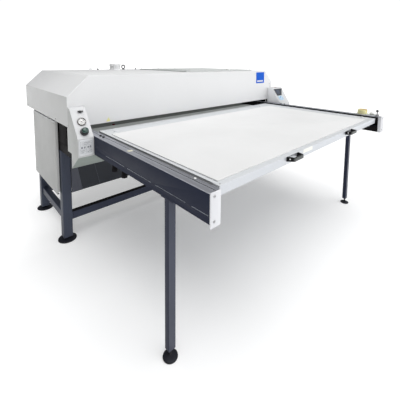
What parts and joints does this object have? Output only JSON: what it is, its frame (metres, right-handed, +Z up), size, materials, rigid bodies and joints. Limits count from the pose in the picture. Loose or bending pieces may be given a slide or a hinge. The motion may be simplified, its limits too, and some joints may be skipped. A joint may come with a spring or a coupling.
{
  "type": "large format heat press",
  "caption": "Large-format pneumatic heat press: hooded upper platen over a pull-out lower table that rolls between two slide beams, on a square-tube frame with levelling feet.",
  "frame": {"origin": "on the floor, under the middle of the machine's overall box with the table pulled out", "axes": "+X along the machine towards the operator screen, -Y towards the operator (the table pulls out that way), +Z up"},
  "size_m": [2.498, 2.45, 1.338],
  "materials": {
    "navy_paint": "satin dark navy powder coat",
    "dark_paint": "satin dark grey paint",
    "foot_black": "black painted feet",
    "rail_aluminium": "anodised extrusion, brushed",
    "white_cap": "light powder coat",
    "black_steel": "black oxide",
    "cylinder_aluminium": "anodised",
    "bronze": "plain",
    "hood_paint": "fine light grey powder coat",
    "grey_paint": "grey powder coat",
    "chrome_ring": "polished ring",
    "black_plastic": "fine grained",
    "screen_black": "glossy",
    "zinc_screws": "zinc plated",
    "yellow_plastic": "satin",
    "table_aluminium": "clear anodised",
    "white_board": "smooth matte white",
    "bearing_steel": "ground",
    "plate_aluminium": "machined, heat tinted",
    "rod_chrome": "hard chromed",
    "green_plastic": "satin dark green",
    "needle_red": "painted",
    "red_plastic": "satin",
    "white_plastic": "satin"
  },
  "bodies": {
    "machine": {"base_posts": "navy_paint", "base_rails": "navy_paint", "base_stretchers": "navy_paint", "apron_panel": "dark_paint", "levelling_feet": "foot_black", "left_slide_beam": "navy_paint", "right_slide_beam": "navy_paint", "rail_strips": "rail_aluminium", "beam_end_caps": "white_cap", "rail_top_fittings": "black_steel", "table_legs": "navy_paint", "beam_fixing_bolts": "black_steel", "bed_supports": "navy_paint", "press_columns": "dark_paint", "press_girders": "dark_paint", "air_cylinders": "cylinder_aluminium", "guide_bushings": "bronze", "hood_front_panel": "hood_paint", "hood_left_panel": "hood_paint", "hood_right_panel": "hood_paint", "hood_roof_panel": "hood_paint", "roof_service_panel": "grey_paint", "rear_cover": "hood_paint", "left_side_cover": "hood_paint", "right_side_cover": "hood_paint", "electrical_cabinet": "grey_paint", "air_tank": "navy_paint", "control_column": "hood_paint", "column_deflector": "grey_paint", "gauge_body": "chrome_ring", "start_button_collar": "black_plastic", "right_control_pod": "hood_paint", "operator_screen": "screen_black", "panel_screws": "zinc_screws", "exhaust_spigot": "hood_paint", "roof_fittings": "black_steel", "station_box": "grey_paint", "stop_button_shroud": "yellow_plastic", "air_inlet_fitting": "bronze", "cable_gland": "black_plastic"},
    "table": {"table_frame": "table_aluminium", "table_side_rails": "black_steel", "table_plate": "table_aluminium", "work_board": "white_board", "table_handles": "black_plastic", "table_clips": "white_cap"},
    "roller_front_left": {"roller_front_left": "bearing_steel"},
    "roller_front_right": {"roller_front_right": "bearing_steel"},
    "roller_rear_left": {"roller_rear_left": "bearing_steel"},
    "roller_rear_right": {"roller_rear_right": "bearing_steel"},
    "heated_platen": {"heated_plate": "plate_aluminium", "platen_ribs": "dark_paint", "piston_rods": "rod_chrome", "guide_rods": "rod_chrome"},
    "start_button": {"start_button": "green_plastic"},
    "mode_selector": {"mode_selector": "black_plastic"},
    "gauge_needle": {"gauge_needle": "needle_red"},
    "stop_button": {"stop_button": "red_plastic"},
    "station_start_button": {"station_start_button": "white_plastic"},
    "latch_lever": {"latch_lever": "black_steel"}
  },
  "joints": [
    {"name": "table_slide", "type": "slide", "parent": "machine", "child": "table", "axis": [0, 1, 0], "range_m": [0, 1.18]},
    {"name": "platen_lift", "type": "slide", "parent": "machine", "child": "heated_platen", "axis": [0, 0, -1], "range_m": [0, 0.0605]},
    {"name": "roller_front_left_spin", "type": "hinge", "parent": "table", "child": "roller_front_left", "pos_m": [-1.102, -1.0715, 0.8328], "axis": [1, 0, 0], "range_deg": [-3880, 10]},
    {"name": "roller_front_right_spin", "type": "hinge", "parent": "table", "child": "roller_front_right", "pos_m": [1.004, -1.0715, 0.8328], "axis": [1, 0, 0], "range_deg": [-3880, 10]},
    {"name": "roller_rear_left_spin", "type": "hinge", "parent": "table", "child": "roller_rear_left", "pos_m": [-1.102, -0.0915, 0.8328], "axis": [1, 0, 0], "range_deg": [-3880, 10]},
    {"name": "roller_rear_right_spin", "type": "hinge", "parent": "table", "child": "roller_rear_right", "pos_m": [1.004, -0.0915, 0.8328], "axis": [1, 0, 0], "range_deg": [-3880, 10]},
    {"name": "start_button_press", "type": "slide", "parent": "machine", "child": "start_button", "axis": [0, 0.7756, -0.6313], "range_m": [0, 0.006], "stiffness_N_per_m": 700, "springref_m": -0.004},
    {"name": "mode_selector_turn", "type": "hinge", "parent": "machine", "child": "mode_selector", "pos_m": [-1.178, -0.04044, 1.04073], "axis": [0, -0.7756, 0.6313], "range_deg": [-45, 45]},
    {"name": "gauge_needle_turn", "type": "hinge", "parent": "machine", "child": "gauge_needle", "pos_m": [-1.187, -0.08715, 0.98334], "axis": [0, 0.7756, -0.6313], "range_deg": [0, 270], "stiffness_Nm_per_rad": 0.0003, "springref_deg": -28.65},
    {"name": "stop_button_press", "type": "slide", "parent": "machine", "child": "stop_button", "axis": [0, 0, -1], "range_m": [0, 0.0055]},
    {"name": "station_start_button_press", "type": "slide", "parent": "machine", "child": "station_start_button", "axis": [0, 0, -1], "range_m": [0, 0.005], "stiffness_N_per_m": 700, "springref_m": -0.003},
    {"name": "latch_lever_tilt", "type": "hinge", "parent": "machine", "child": "latch_lever", "pos_m": [1.012, -1.1745, 0.9095], "axis": [1, 0, 0], "range_deg": [-35, 35]}
  ],
  "couplings": [
    {"joint": "roller_front_left_spin", "follows": "table_slide", "rad_per_m": -57.143},
    {"joint": "roller_front_right_spin", "follows": "table_slide", "rad_per_m": -57.143},
    {"joint": "roller_rear_left_spin", "follows": "table_slide", "rad_per_m": -57.143},
    {"joint": "roller_rear_right_spin", "follows": "table_slide", "rad_per_m": -57.143}
  ]
}
